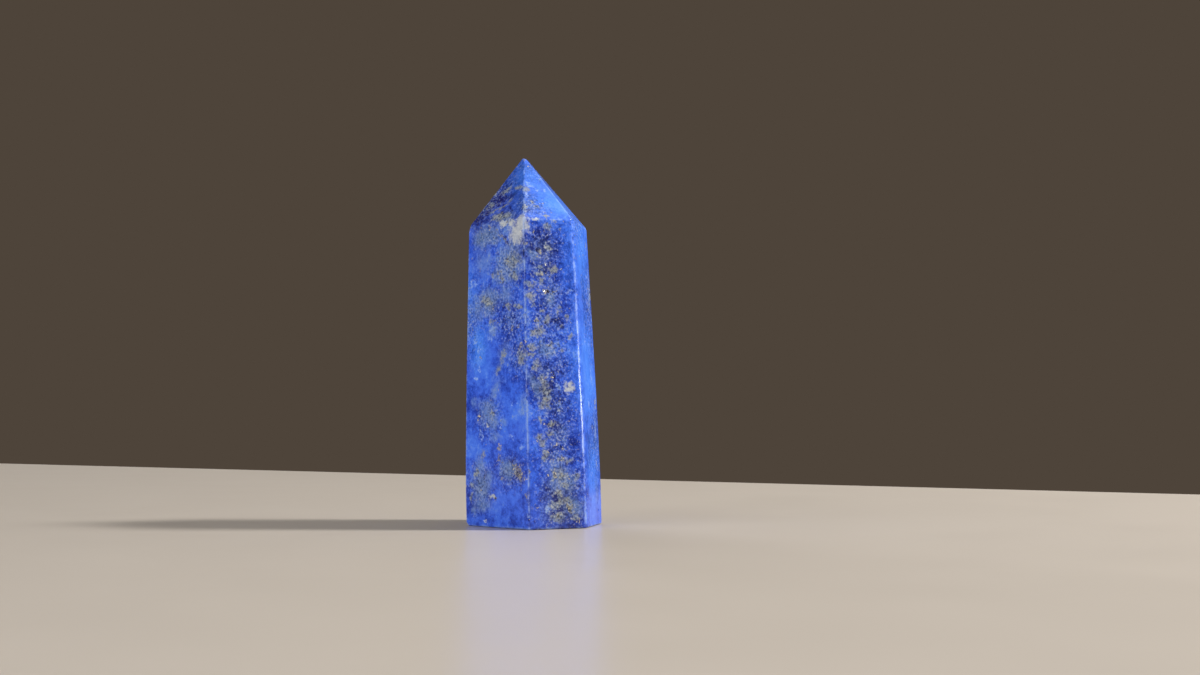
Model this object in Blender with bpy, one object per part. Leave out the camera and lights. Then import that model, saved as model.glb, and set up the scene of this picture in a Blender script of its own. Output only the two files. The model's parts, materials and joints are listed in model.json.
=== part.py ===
"""A polished lapis lazuli tower: one six-sided stone with a point, sawn flat to stand on a table.

The stone stands on z = 0 with its nearest arris towards -Y. A bearing is read from above in
degrees, from -Y (0) through +X (90), and with a height it names a place on the stone's skin.
"""

import math
import random

import bmesh
import bpy
from mathutils import Matrix, Vector
from mathutils.bvhtree import BVHTree

MM = 0.001

# The shaft: three sides in turn, left front, right front and right; the other three lie opposite
HEIGHT = 75.0 * MM
SIDE_WIDTHS = (18.0 * MM, 12.2 * MM, 12.1 * MM)
SIDE_HEADINGS = (-42.1, 24.5, 75.5)
TAPER = 0.875
SHOULDER_LEVEL = 61.0 * MM
SHOULDER_DRIFT = Vector((-1.45 * MM, 0.0))

# Height of the shoulder at each arris, from the left one round by the front to the back left
SHOULDER_HEIGHTS = (60.5 * MM, 61.1 * MM, 61.3 * MM, 60.6 * MM, 60.9 * MM, 60.7 * MM)

# The ridges would meet this far above the worn tip
TIP_WEAR = 0.5 * MM
TIP = Vector((-2.3 * MM, 0.0, HEIGHT + TIP_WEAR))

# Hand polishing leaves the sides a little barrelled, fullest a third of the way up
CROWN = 0.28 * MM
CROWN_SKEW = 0.6
CROWN_LEVELS = 9

# Width of the polished round on each kind of edge; the third arris is the soft broad one
WIDEST_ROUND = 1.0 * MM
ROUND_SEGMENTS = 3
ARRIS_ROUNDS = (0.40 * MM, 0.45 * MM, 1.0 * MM, 0.5 * MM, 0.45 * MM, 0.4 * MM)
RIDGE_ROUNDS = (0.25 * MM, 0.3 * MM, 0.4 * MM, 0.3 * MM, 0.25 * MM, 0.25 * MM)
SHOULDER_ROUND = 0.35 * MM
FOOT_ROUND = 0.45 * MM

# Corners knocked flat: arris number, height, depth taken off, and how far the cut faces up
WORN_CORNERS = (
    (0, 60.5 * MM, 0.35 * MM, 16.0),
    (1, 61.1 * MM, 0.35 * MM, 20.0),
    (0, 0.0 * MM, 0.50 * MM, -34.0),
    (3, 0.0 * MM, 0.34 * MM, -34.0),
    (4, 60.9 * MM, 0.45 * MM, 18.0),
    (5, 0.0 * MM, 0.45 * MM, -30.0),
)
CORNER_BLOCK = 6.0 * MM

# Chips out of the arrises: arris number, height, and length along the arris
ARRIS_CHIPS = (
    (0, 59.1 * MM, 0.9 * MM),
    (0, 52.6 * MM, 1.5 * MM),
    (0, 13.2 * MM, 1.0 * MM),
    (1, 56.2 * MM, 0.9 * MM),
    (1, 54.2 * MM, 1.5 * MM),
    (1, 42.3 * MM, 0.8 * MM),
    (1, 39.6 * MM, 1.6 * MM),
    (1, 35.6 * MM, 1.1 * MM),
    (1, 32.6 * MM, 0.9 * MM),
    (1, 25.6 * MM, 0.8 * MM),
    (1, 1.9 * MM, 1.2 * MM),
    (2, 57.6 * MM, 0.8 * MM),
    (3, 47.0 * MM, 1.2 * MM),
    (3, 21.5 * MM, 0.9 * MM),
    (4, 52.0 * MM, 1.0 * MM),
    (4, 30.5 * MM, 1.6 * MM),
    (4, 8.0 * MM, 0.9 * MM),
    (5, 44.0 * MM, 1.1 * MM),
    (5, 17.5 * MM, 1.4 * MM),
)

# A chip's width, length and depth, as shares of the size above, and how far the round sets it back
CHIP_SHAPE = (0.7, 1.5, 0.26)
ROUND_SET_BACK = 0.25

# Pits where grains pulled out under the polish: bearing, height, width, and length over width
PITS = (
    (12.5, 54.9 * MM, 1.1 * MM, 1.5),
    (21.4, 46.8 * MM, 0.8 * MM, 1.0),
    (26.8, 46.7 * MM, 0.6 * MM, 1.2),
    (18.1, 40.4 * MM, 0.6 * MM, 1.3),
    (24.6, 30.4 * MM, 0.7 * MM, 2.4),
    (21.8, 28.4 * MM, 0.6 * MM, 2.2),
    (8.8, 17.9 * MM, 0.7 * MM, 1.4),
    (28.2, 16.1 * MM, 0.7 * MM, 1.1),
    (23.7, 2.4 * MM, 0.7 * MM, 1.5),
    (34.2, 3.6 * MM, 0.7 * MM, 1.3),
    (-24.2, 57.0 * MM, 0.6 * MM, 2.6),
    (-50.4, 60.0 * MM, 0.6 * MM, 1.2),
    (-6.4, 6.4 * MM, 0.8 * MM, 1.2),
    (-11.6, 10.8 * MM, 0.8 * MM, 1.6),
    (-14.8, 12.4 * MM, 0.6 * MM, 1.2),
    (-8.2, 9.4 * MM, 0.7 * MM, 1.4),
    (-12.6, 8.9 * MM, 0.6 * MM, 1.1),
    (-41.4, 5.8 * MM, 0.7 * MM, 1.4),
    (-66.0, 2.4 * MM, 0.7 * MM, 1.2),
    (-66.1, 65.5 * MM, 0.6 * MM, 1.6),
    (-50.0, 63.6 * MM, 0.6 * MM, 1.3),
)
PIT_DEPTH = 0.42
PIT_TURN = 0.6

# The sides away from the front have their pits by chance, each clear of the others
SCATTERED_PITS = 44
SCATTER_BEARINGS = (55.0, 275.0)
SCATTER_HEIGHTS = (2.0 * MM, 68.0 * MM)
SCATTER_WIDTHS = (0.5 * MM, 0.9 * MM)
SCATTER_STRETCH = (1.0, 1.8)
PIT_CLEARANCE = 1.3 * MM
PIT_SEED = 11

# A grain is a rough lens whose middle stands out of the skin by a share of its half thickness
GRAIN_ROUGHNESS = 0.14
GRAIN_LIFT = 0.4

STONE_COLOUR = (0.045, 0.085, 0.47, 1.0)
STONE_ROUGHNESS = 0.2


def clear_scene():
    """Remove every object that the scene starts with."""
    for obj in list(bpy.data.objects):
        bpy.data.objects.remove(obj, do_unlink=True)


def foot_corners():
    """The six corners of the foot, centred on the origin, from the left one round by the front."""
    corners = [Vector((0.0, 0.0))]
    for side in range(5):
        heading = math.radians(SIDE_HEADINGS[side % 3] + (180.0 if side > 2 else 0.0))
        run = Vector((math.cos(heading), math.sin(heading)))
        corners.append(corners[-1] + run * SIDE_WIDTHS[side % 3])
    centre = sum(corners, Vector((0.0, 0.0))) / len(corners)
    return [corner - centre for corner in corners]


def arris_point(arris, height):
    """The sharp arris at a height: tapered, drifting to the left and slightly barrelled."""
    share = height / SHOULDER_LEVEL
    foot = foot_corners()[arris]
    full = foot * (1.0 + (TAPER - 1.0) * share) + SHOULDER_DRIFT * share
    bulge = CROWN * math.sin(math.pi * max(share, 0.0) ** CROWN_SKEW) if share < 1.0 else 0.0
    across = full + foot.normalized() * bulge
    return Vector((across.x, across.y, height))


def stone_mesh():
    """The sharp-edged stone, with the round of every edge stored as a share of the widest."""
    bm = bmesh.new()
    weight = bm.edges.layers.float.new("bevel_weight_edge")
    rings = []
    for level in range(CROWN_LEVELS + 1):
        share = level / CROWN_LEVELS
        ring = [bm.verts.new(arris_point(k, SHOULDER_HEIGHTS[k] * share)) for k in range(6)]
        rings.append(ring)
    tip = bm.verts.new(TIP)
    bm.faces.new(list(reversed(rings[0])))
    for lower, upper in zip(rings, rings[1:]):
        for k in range(6):
            after = (k + 1) % 6
            bm.faces.new((lower[k], lower[after], upper[after], upper[k]))
    for k in range(6):
        bm.faces.new((rings[-1][k], rings[-1][(k + 1) % 6], tip))
    for k in range(6):
        after = (k + 1) % 6
        for lower, upper in zip(rings, rings[1:]):
            bm.edges.get((lower[k], upper[k]))[weight] = ARRIS_ROUNDS[k] / WIDEST_ROUND
        bm.edges.get((rings[0][k], rings[0][after]))[weight] = FOOT_ROUND / WIDEST_ROUND
        bm.edges.get((rings[-1][k], rings[-1][after]))[weight] = SHOULDER_ROUND / WIDEST_ROUND
        bm.edges.get((rings[-1][k], tip))[weight] = RIDGE_ROUNDS[k] / WIDEST_ROUND
    bmesh.ops.recalc_face_normals(bm, faces=bm.faces)
    return bm


def mesh_object(name, bm, collection):
    """A named object in the collection, holding the finished bmesh."""
    mesh = bpy.data.meshes.new(name)
    bm.to_mesh(mesh)
    bm.free()
    obj = bpy.data.objects.new(name, mesh)
    collection.objects.link(obj)
    return obj


def standing_frame(point, outward):
    """A matrix at the point with Z outwards, Y up the stone and X along it."""
    across = Vector((0.0, 0.0, 1.0)).cross(outward).normalized()
    upwards = outward.cross(across).normalized()
    turn = Matrix((across, upwards, outward)).transposed().to_4x4()
    return Matrix.Translation(point) @ turn


def add_grain(bm, frame, width, length, depth, draw):
    """A rough lens standing partly out of the skin, so that cutting it away leaves a shallow pit."""
    half_size = Vector((width / 2.0, length / 2.0, depth / (1.0 - GRAIN_LIFT)))
    lift = Vector((0.0, 0.0, half_size.z * GRAIN_LIFT))
    made = bmesh.ops.create_icosphere(bm, subdivisions=1, radius=1.0)
    for vert in made["verts"]:
        rough = draw.uniform(1.0 - GRAIN_ROUGHNESS, 1.0 + GRAIN_ROUGHNESS)
        vert.co = vert.co * half_size * rough + lift
    bmesh.ops.transform(bm, matrix=frame, verts=made["verts"])


def skin_place(skin, bearing, height):
    """The point and outward direction of the skin at a bearing and height."""
    axis = Vector((TIP.x * height / HEIGHT, 0.0, height))
    angle = math.radians(bearing)
    away = Vector((math.sin(angle), -math.cos(angle), 0.0))
    point, normal, _, _ = skin.ray_cast(axis + away * HEIGHT, -away)
    return point, normal


def pit_places(skin, draw):
    """The pits placed by hand, then scattered ones that keep clear of them and of each other."""
    places = [(*skin_place(skin, *where), width, stretch) for *where, width, stretch in PITS]
    while len(places) < len(PITS) + SCATTERED_PITS:
        point, normal = skin_place(skin, draw.uniform(*SCATTER_BEARINGS), draw.uniform(*SCATTER_HEIGHTS))
        width, stretch = draw.uniform(*SCATTER_WIDTHS), draw.uniform(*SCATTER_STRETCH)
        if all((point - other[0]).length > PIT_CLEARANCE for other in places):
            places.append((point, normal, width, stretch))
    return places


def pit_cutters(skin):
    """Every pit's grain in one mesh."""
    draw = random.Random(PIT_SEED)
    bm = bmesh.new()
    for point, normal, width, stretch in pit_places(skin, draw):
        frame = standing_frame(point, normal) @ Matrix.Rotation(draw.uniform(-PIT_TURN, PIT_TURN), 4, "Z")
        add_grain(bm, frame, width, width * stretch, width * PIT_DEPTH, draw)
    return bm


def chip_cutters():
    """A long grain for each chip, lying along its arris."""
    draw = random.Random(PIT_SEED + 1)
    bm = bmesh.new()
    for arris, height, size in ARRIS_CHIPS:
        outward = foot_corners()[arris].normalized().to_3d()
        point = arris_point(arris, height) - outward * ARRIS_ROUNDS[arris] * ROUND_SET_BACK
        width, length, depth = (size * share for share in CHIP_SHAPE)
        add_grain(bm, standing_frame(point, outward), width, length, depth, draw)
    return bm


def corner_cutters():
    """A block laid against each worn corner, its inner face along the flat that wear has left."""
    bm = bmesh.new()
    for arris, height, depth, rise in WORN_CORNERS:
        away = foot_corners()[arris].normalized() * math.cos(math.radians(rise))
        outward = Vector((away.x, away.y, math.sin(math.radians(rise))))
        inner_face = arris_point(arris, height) - outward * depth
        frame = standing_frame(inner_face + outward * CORNER_BLOCK / 2.0, outward)
        bmesh.ops.create_cube(bm, size=CORNER_BLOCK, matrix=frame)
    return bm


def stone_material():
    """Polished lapis lazuli: deep ultramarine with a soft gloss."""
    material = bpy.data.materials.new("polished lapis lazuli")
    material.use_nodes = True
    shader = material.node_tree.nodes["Principled BSDF"]
    shader.inputs["Base Color"].default_value = STONE_COLOUR
    shader.inputs["Roughness"].default_value = STONE_ROUGHNESS
    shader.inputs["Metallic"].default_value = 0.0
    material.diffuse_color = STONE_COLOUR
    return material


def cut_away(stone, name, bm, collection):
    """Take the cutter's shapes out of the stone."""
    cutter = mesh_object(name, bm, collection)
    cutter.hide_render = True
    cutter.display_type = "WIRE"
    boolean = stone.modifiers.new(name, "BOOLEAN")
    boolean.operation = "DIFFERENCE"
    boolean.solver = "EXACT"
    boolean.use_self = True
    boolean.object = cutter


def build_tower():
    """The tower: the cut stone, its edges rounded by the polish, then chipped and pitted."""
    collection = bpy.context.scene.collection
    bm = stone_mesh()
    skin = BVHTree.FromBMesh(bm)
    tower = mesh_object("tower", bm, collection)
    tower.data.materials.append(stone_material())
    rounding = tower.modifiers.new("polished edges", "BEVEL")
    rounding.limit_method = "WEIGHT"
    rounding.width = WIDEST_ROUND
    rounding.segments = ROUND_SEGMENTS
    rounding.use_clamp_overlap = False
    cut_away(tower, "worn_corners", corner_cutters(), collection)
    cut_away(tower, "arris_chips", chip_cutters(), collection)
    cut_away(tower, "pits", pit_cutters(skin), collection)
    tower.data.shade_smooth()
    tower.data.set_sharp_from_angle(angle=math.radians(30.0))


clear_scene()
build_tower()
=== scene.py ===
"""The looks of a polished lapis lazuli tower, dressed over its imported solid.

The stone stands on z = 0 with its nearest arris towards -Y. A place on its skin is a bearing, read
from above in degrees from -Y (0) through +X (90), and a height above the table in millimetres.
"""

from __future__ import annotations

import json
import logging
import math
import random
from collections.abc import Iterable, Mapping
from dataclasses import dataclass
from enum import Enum

import bmesh
import bpy
from bpy.types import Material, Mesh, Node, Object
from bpy.types import NodeSocket as Socket
from bpy.types import NodeTree as Tree
from mathutils import Matrix, Vector
from mathutils.bvhtree import BVHTree

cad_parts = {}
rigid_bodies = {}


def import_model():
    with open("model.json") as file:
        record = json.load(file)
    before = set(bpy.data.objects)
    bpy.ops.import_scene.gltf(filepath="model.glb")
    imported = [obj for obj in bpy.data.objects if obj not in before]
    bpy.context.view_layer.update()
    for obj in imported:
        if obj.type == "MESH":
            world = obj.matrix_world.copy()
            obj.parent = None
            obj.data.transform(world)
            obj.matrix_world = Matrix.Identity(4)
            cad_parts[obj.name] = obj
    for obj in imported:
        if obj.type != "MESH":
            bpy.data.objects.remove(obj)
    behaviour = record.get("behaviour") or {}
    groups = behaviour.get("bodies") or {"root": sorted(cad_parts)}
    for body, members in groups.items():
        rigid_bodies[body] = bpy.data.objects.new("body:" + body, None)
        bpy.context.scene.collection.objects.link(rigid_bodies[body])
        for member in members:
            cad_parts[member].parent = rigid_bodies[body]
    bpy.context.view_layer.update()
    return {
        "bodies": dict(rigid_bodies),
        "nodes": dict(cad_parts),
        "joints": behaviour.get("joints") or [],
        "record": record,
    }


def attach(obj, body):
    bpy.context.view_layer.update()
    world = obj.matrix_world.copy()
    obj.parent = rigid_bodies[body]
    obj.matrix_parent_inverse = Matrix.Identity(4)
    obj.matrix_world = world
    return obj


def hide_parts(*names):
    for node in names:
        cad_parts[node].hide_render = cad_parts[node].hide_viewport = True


log = logging.getLogger("tower")

MM = 0.001

# Face attributes that the stone's material reads: how far a face lies into an arris, where the material
# dulls the polish and paints a pale highlight, and whether it lies in a pit
ARRIS_WEAR_AND_SHEEN, PIT = "wear", "pit"

# Sockets of a colour Mix node, whose inputs share their names with its other kinds
MIX_SHARE, MIX_UNDER, MIX_OVER, MIX_RESULT = 0, 6, 7, 2

# The mean of a noise, and of the colour that a noise or cells give
MEAN = 0.5
MEAN_COLOUR = (MEAN, MEAN, MEAN)


def linear_colour(code: str) -> tuple[float, float, float, float]:
    """Turn an sRGB hex colour into the linear one that a shader takes.

    Args:
        code: The colour as "#rrggbb".

    Returns:
        Linear red, green and blue, with an alpha of 1.
    """
    shares = [int(code[at : at + 2], 16) / 255.0 for at in (1, 3, 5)]
    linear = [s / 12.92 if s <= 0.04045 else ((s + 0.055) / 1.055) ** 2.4 for s in shares]
    return (*linear, 1.0)


def add_node(
    tree: Tree, kind: str, sockets: Mapping[str | int, object] | None = None, **settings: object
) -> Node:
    """Add one node with its settings, its values and its links.

    Args:
        tree: The node tree that the node goes into.
        kind: Blender's name for the kind of node.
        sockets: What goes into each input: a value, or the output socket that is linked to it.
        settings: Properties of the node itself, such as its operation.

    Returns:
        The new node.
    """
    node = tree.nodes.new(kind)
    for name, value in settings.items():
        setattr(node, name, value)
    for key, value in (sockets or {}).items():
        if isinstance(value, Socket):
            tree.links.new(value, node.inputs[key])
        else:
            node.inputs[key].default_value = value
    return node


def bearing_direction(bearing: float) -> Vector:
    """The level direction at a bearing in degrees."""
    angle = math.radians(bearing)
    return Vector((math.sin(angle), -math.cos(angle), 0.0))


class Mineral(Enum):
    """What the eye tells apart in the polished skin: six minerals and marks, and four kinds of blue. On the
    sides in view the lighter blue also paints light and the deeper blue paints shade.
    """

    DUST = "blue peppered with pale and dark grains"
    CLEAR = "clean blue"
    # On the sides in view these two paint light on the lit right side and shade on the point's left facets
    BRIGHT = "lighter blue"
    DEEP = "deeper blue"
    HAZE = "grey-blue haze"
    SHADE = "navy"
    WISP = "pale blue wisp"
    DIOPSIDE = "grey and beige diopside"
    CALCITE = "white calcite"
    PYRITE = "pyrite"


@dataclass(frozen=True)
class Patch:
    """Where a mineral shows: its place on the skin, its size in mm and its lean to the right in degrees."""

    bearing: float
    height: float
    width: float
    length: float
    lean: float = 0.0


def patches(*rows: tuple[float, ...]) -> tuple[Patch, ...]:
    """Patches from rows of a bearing, a height, a width, a length and, unless it is upright, a lean."""
    return tuple(Patch(*row) for row in rows)


# The marks that the eye finds first, on the three sides and two facets that the photograph shows
MARKS = {
    Mineral.DUST: patches(
        (22, 56, 12, 12), (24, 46, 12, 12), (20, 36, 13, 12), (16, 27, 9, 12), (27, 24, 11, 12),
        (24, 14, 12, 14), (28, 4, 12, 10), (-20, 52, 10, 12), (-48, 45, 9, 8), (-18, 41, 10, 10),
        (-8, 34, 6, 10), (-50, 22, 7, 8), (-20, 11, 9, 7), (-63, 8, 8, 10), (-30, 62, 9, 4), (8, 64, 8, 7),
        (-50, 58, 9, 5), (88, 44, 9, 20), (84, 16, 10, 16), (64, 60, 8, 8), (27, 19, 9, 10), (17, 31, 8, 9),
        (31, 32, 7, 8), (16, 8, 7, 9), (37, 9, 8, 10), (17, 51, 8, 8), (29, 41, 8, 8), (12, 41, 6, 8),
    ),
    Mineral.CLEAR: patches(
        (2, 12, 3.2, 21), (43, 53, 4, 19), (-30, 73, 10, 6), (20, 73, 8, 5), (-64, 34, 8, 10),
        (-12, 5, 6, 7), (-15, 28, 5, 6), (75, 56, 16, 30), (75, 34, 16, 34), (76, 12, 16, 34),
        (32, 66, 7, 7),
    ),
    # Painted light: lighter blue where the light falls on the right side and the right facets of the point
    Mineral.BRIGHT: patches(
        (28, 71, 11, 12), (34, 65, 14, 10), (80, 66, 12, 12), (73, 56, 12, 26), (73, 32, 12, 30),
        (76, 13, 10, 14), (-66, 36, 5, 8),
    ),
    # Painted shade: deeper blue on the left facets of the point and on two places of the front right side
    Mineral.DEEP: patches(
        (-66, 64, 14, 12), (-36, 64, 13, 11), (-52, 66, 13, 12), (-24, 66, 10, 11), (-45, 70, 8, 9),
        (-74, 62.5, 8, 8), (22, 54, 8, 8), (29, 5, 12, 12),
    ),
    Mineral.HAZE: patches(
        (-62, 53, 6, 7), (-18, 53, 8, 9), (-44, 58.6, 4, 9, -70), (-24, 46, 4, 4.5, -58),
        (-53, 44, 3.5, 5, -60), (-45, 39, 3, 3), (23, 45.4, 1.8, 3, -10), (17, 35, 2.5, 3.5, -70),
        (7, 54, 2, 2.5, -60), (-5, 24.4, 2, 4), (-44, 21, 3.5, 3.5), (-27, 21, 2, 2), (-50, 10, 3, 2.5),
        (-59, 4.3, 3, 5, 80), (-72, 3, 2, 3), (4, 28.6, 2.5, 5, -20), (28, 10, 4.5, 6, -50),
        (40, 4.4, 3, 4.5, -40), (-72, 25, 3, 3), (-10, 56, 3, 3), (-29, 34.2, 3.2, 5.8, 23),
        (-35, 31.6, 2.8, 5.2, 29), (-39, 27.6, 2.8, 7, 44), (-50, 46, 6, 4), (-56, 23, 5, 6, 20),
        (-60, 8, 5, 6), (-24, 12, 4, 4), (-35, 50, 4, 4), (-62, 58, 6, 5), (-40, 18, 3, 3, 30),
        (-66, 44, 4, 5), (-20, 60, 6, 5), (-15, 56, 4, 5), (-64, 12, 3, 6), (88, 20, 1.5, 9),
        (92, 48, 1.5, 10), (84, 6, 3, 8),
    ),
    Mineral.SHADE: patches(
        (-67, 65.6, 1.5, 2, -50), (-78, 64.4, 1.4, 1.4, -60), (-73, 61.8, 1.6, 4, -60),
        (-30, 70, 1.2, 1.6, -70), (-22, 57, 1, 5.5, -42), (9, 55.4, 2, 3.6, -70), (1, 53.9, 1.6, 1.4),
        (30, 51.9, 2, 3.4, -60), (24, 30.2, 0.9, 2.6, 17), (21.4, 27.6, 0.8, 3), (1.5, 32.7, 0.9, 1.8, -30),
        (-3, 35.6, 1, 1, -40), (0.5, 40.8, 0.9, 4.6), (5.6, 62.8, 1.2, 1.2), (-68, 1.6, 1.4, 1.1),
        (10, 12.7, 1.3, 1), (-11, 4.2, 2, 2.4, -70), (22, 46.8, 1.4, 1.5), (24, 20, 3, 5.5, -34),
        (2.5, 1.9, 1.2, 1.4), (25, 3.3, 1.2, 2, -74), (12, 35.8, 1.2, 1.8, -80), (8, 58.6, 2, 2.4),
        (-40, 62.8, 1.4, 4, 72), (-50, 66, 1.8, 5, -58), (-62, 63.4, 1.8, 4.6, -50), (-30, 67, 1.5, 4, -58),
        (-58, 67.4, 1.4, 3.6, -56), (-22, 63.6, 1.6, 3.6, -50), (-42, 69.6, 1.4, 3.4, -58),
        (-56, 66, 4.5, 8, -58), (-38, 64.5, 4.5, 8, -58), (-71, 63.5, 4, 6, -50),
    ),
    Mineral.WISP: patches(
        (-71, 37.3, 0.8, 2, 85), (-65, 35.2, 1.1, 1.4), (-65, 31.5, 0.9, 2, -12), (-69, 29.7, 1, 1.8, -62),
        (-76, 48.8, 0.9, 1.8), (-71, 48.7, 0.9, 1.6), (-47, 37.4, 1.4, 1.6), (-15, 24.6, 1.3, 1.6, -50),
        (-33, 19.7, 0.9, 1.4, -56), (-18, 18, 1.3, 2, -56), (-7, 15.9, 0.7, 2.2, 85),
        (-64, 19, 1.1, 2.2, -23), (-60, 17.7, 1, 2.2), (-33, 10.6, 1.1, 1.5, -17),
        (11.5, 68.6, 1.1, 2.6, -50), (23, 67.8, 0.8, 0.9), (37, 67.5, 0.8, 0.8), (27.5, 27.7, 1, 3.2, -19),
        (14.5, 3.8, 1.2, 1.4), (-2, 2.8, 1.2, 1), (42, 47, 0.5, 4.2, 67), (12, 61, 1.1, 4, 88),
        (-46, 39.6, 1.6, 1.3), (4, 66.5, 0.9, 2.4, 10), (68, 37.2, 0.8, 2.2), (70, 25, 0.9, 2.6),
        (83, 30, 0.8, 3), (62, 12, 0.8, 2.6),
    ),
    Mineral.DIOPSIDE: patches(
        (-51, 68, 1.5, 2.6, 78), (-10, 68.3, 1.3, 2.6, -80), (-80, 67.6, 1, 0.8), (-70, 64.9, 1.2, 2, 78),
        (-46, 63.9, 0.7, 7, 74), (-33, 62, 1.9, 6, -88), (-23, 65.6, 0.8, 2, 54), (2, 67.8, 1.6, 2.2),
        (10, 64.9, 0.9, 1.1), (17, 63.8, 1.2, 1.1), (25, 64.6, 0.8, 0.8), (1.5, 63.4, 1.2, 2.2),
        (24, 61.8, 1.1, 0.9), (31, 62.9, 0.9, 0.9), (-12, 53, 3, 3.6, 84), (-29, 50.7, 1, 1),
        (-44, 50.2, 1.1, 1.1), (-27, 49.4, 1.5, 1.6), (-11, 49.8, 1.8, 2.4, -65),
        (-53, 45.1, 1.8, 4.4, -67), (-20, 43.7, 1.5, 2.2, -80), (-8, 43.8, 1, 2.4, -77),
        (-44, 41, 1.3, 2.2, -82), (-4.7, 33.8, 2.2, 3.2, 10), (-29, 34.2, 1.3, 3, 23),
        (-36, 31.2, 1.1, 2.4, 29), (-45, 22.5, 0.9, 0.9), (-59, 14.6, 1.2, 2.2, 17), (-67, 10.9, 1.3, 1.2),
        (-73, 8.2, 1.3, 1.3), (-74, 5.6, 1, 2.2), (4.5, 46, 2.2, 1.9, -48), (4.3, 48.1, 1.4, 2.8, 88),
        (14.5, 48.6, 1.3, 1.4), (23, 59.7, 1.4, 1.9, -86), (32.5, 60.7, 0.9, 0.9), (37, 59.4, 0.9, 0.9),
        (24, 55.8, 1.1, 1.6), (13, 51.6, 1.3, 1.3), (13.7, 50.2, 1.1, 1), (29, 51.2, 1.6, 2, -48),
        (6, 44.3, 1.1, 1.3), (15, 42.9, 1.1, 1), (31.4, 42.8, 1.1, 1.2), (34.2, 43.8, 0.9, 0.9),
        (39.2, 41.6, 0.9, 1.5), (19.3, 41, 1.3, 2.1), (9.3, 40.8, 1.2, 1), (33.4, 39.8, 1, 1.4),
        (9, 38.7, 2.1, 3.2, 81), (41, 37.7, 0.9, 1), (20.5, 36.5, 0.8, 1.9, 74), (3.6, 35.7, 1.2, 2.1, 88),
        (3, 34.2, 1, 1.8, 82), (33.4, 35.2, 1.5, 1.4), (7, 32, 2.1, 2.1), (12.8, 29.1, 1.4, 2.6, -10),
        (14.6, 26.4, 1.9, 6, -8), (13.1, 24.7, 1.6, 3, 29), (27, 23.3, 0.8, 0.8), (10.2, 21.4, 1.2, 1.5),
        (19.7, 20.5, 1.2, 2.1, 84), (9.2, 17.5, 1.9, 3.6, -31), (18.3, 18.5, 1, 1.8, 83),
        (12.9, 14.3, 1.6, 2.3), (35.8, 13.1, 1.2, 2.1, -89), (29.2, 13.8, 1.4, 1.5),
        (22.8, 10.7, 1.5, 2.2, -19), (28.1, 10.5, 2.4, 2.6, -21), (42.5, 10.1, 1.4, 1.4),
        (31.1, 8.3, 1.4, 1.9, -67), (25, 6.8, 1.6, 2.6, -39), (23.2, 4.9, 1.6, 3.2, 49),
        (32, 5.5, 1.2, 1.7, -64), (34.6, 4.4, 1.2, 1.3), (23.2, 2.3, 1.5, 3.4, -85),
        (41.4, 2.2, 1.5, 2.6, -64), (96, 47, 1.2, 3.2), (90, 37.5, 1, 2.2, 8), (93, 24.5, 1.3, 3, -6),
        (88, 12, 1.2, 2), (97, 6.5, 1.2, 3), (80, 55, 1, 1.6), (67, 49, 0.8, 1.2), (78, 19.5, 0.9, 1.4),
        (92, 57, 1, 2),
    ),
    Mineral.CALCITE: patches(
        (-8, 58.3, 5.6, 6.8, -7), (-3, 59.9, 4, 7.2, 4), (-26, 60.4, 1.8, 4.2, -88),
        (10.9, 61, 1.1, 2.8, -88), (38.3, 27.7, 3.4, 3.1), (-46, 6.1, 1.9, 2.4, -66), (-52.5, 20.3, 1, 1),
        (-55, 1.1, 1, 1.2, 80), (-15, 60.6, 1.6, 2.4, -70),
    ),
    Mineral.PYRITE: patches(
        (-10.5, 10.7, 2.6, 5.4, -48), (-11, 11.9, 1.1, 1.3), (-1.5, 11.2, 0.8, 1.3), (-35, 15.7, 1, 1.6),
        (-34, 13.6, 1.6, 2, -66), (-26, 57.6, 0.8, 5.2, -45), (-64, 60.3, 0.9, 0.8), (-49, 60.4, 0.9, 1.1),
        (21.8, 46.8, 1.1, 0.9), (27, 46.8, 0.8, 0.8), (-16, 39.4, 1.1, 1.4, 48), (-8, 39.7, 0.8, 0.8),
        (-4.7, 38.6, 0.8, 1.1), (-6, 36.2, 1.1, 1.1), (21.8, 29.7, 0.8, 0.8), (31, 16, 0.9, 0.9),
        (24.4, 16.6, 0.9, 0.9), (29.7, 13.8, 1, 1.3), (20.9, 13.5, 0.8, 0.8), (21.9, 10.9, 1, 2.1, -19),
        (14.5, 55, 1.6, 1.5), (0.8, 56.1, 1, 0.8), (36, 4.2, 1.7, 2.6, -53), (43.5, 1.7, 1, 1.4),
        (-3.5, 6.6, 1.1, 1.3), (-41, 5.8, 0.9, 1.2), (-34, 50.4, 0.9, 1.1), (21, 58.7, 0.8, 0.8),
        (91, 36.8, 0.9, 1.2), (87, 13, 0.9, 1.1),
    ),
}


@dataclass(frozen=True)
class Growth:
    """How a mineral fills the stone.

    Its patches, the dusty and the clean places, the grain and the mottling add up by weight to a score. It
    shows where that is above the start, and where it is above the whole it has all its strength.
    """

    patch: float
    start: float
    whole: float
    strength: float
    dust: float = 0.0
    clear: float = 0.0
    grain: float = 0.0
    mottle: float = 0.0


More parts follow.
